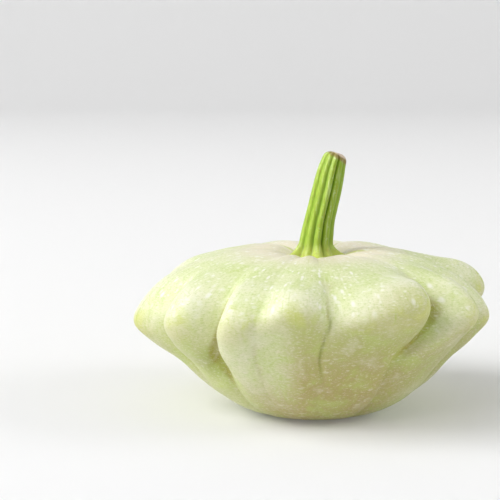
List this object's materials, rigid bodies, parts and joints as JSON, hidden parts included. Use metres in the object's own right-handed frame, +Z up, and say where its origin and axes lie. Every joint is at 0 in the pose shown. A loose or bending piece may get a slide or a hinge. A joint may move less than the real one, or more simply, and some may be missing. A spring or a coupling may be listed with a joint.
{
  "type": "pattypan squash",
  "caption": "Pattypan squash: a flat, scalloped summer squash with rounded lobes round its edge and a short ribbed stalk, resting on its blossom end.",
  "frame": {"origin": "middle of the flat spot at the blossom end, which the squash rests on", "axes": "+Z up through the stalk, -Y towards the front, where the sharp crease between two lobes runs down, +X towards the side that the stalk leans to"},
  "size_m": [0.1394, 0.1347, 0.102],
  "materials": {
    "rind": "satin",
    "stalk": "satin"
  },
  "bodies": {
    "root": {"fruit": "rind", "stalk": "stalk"}
  },
  "joints": []
}
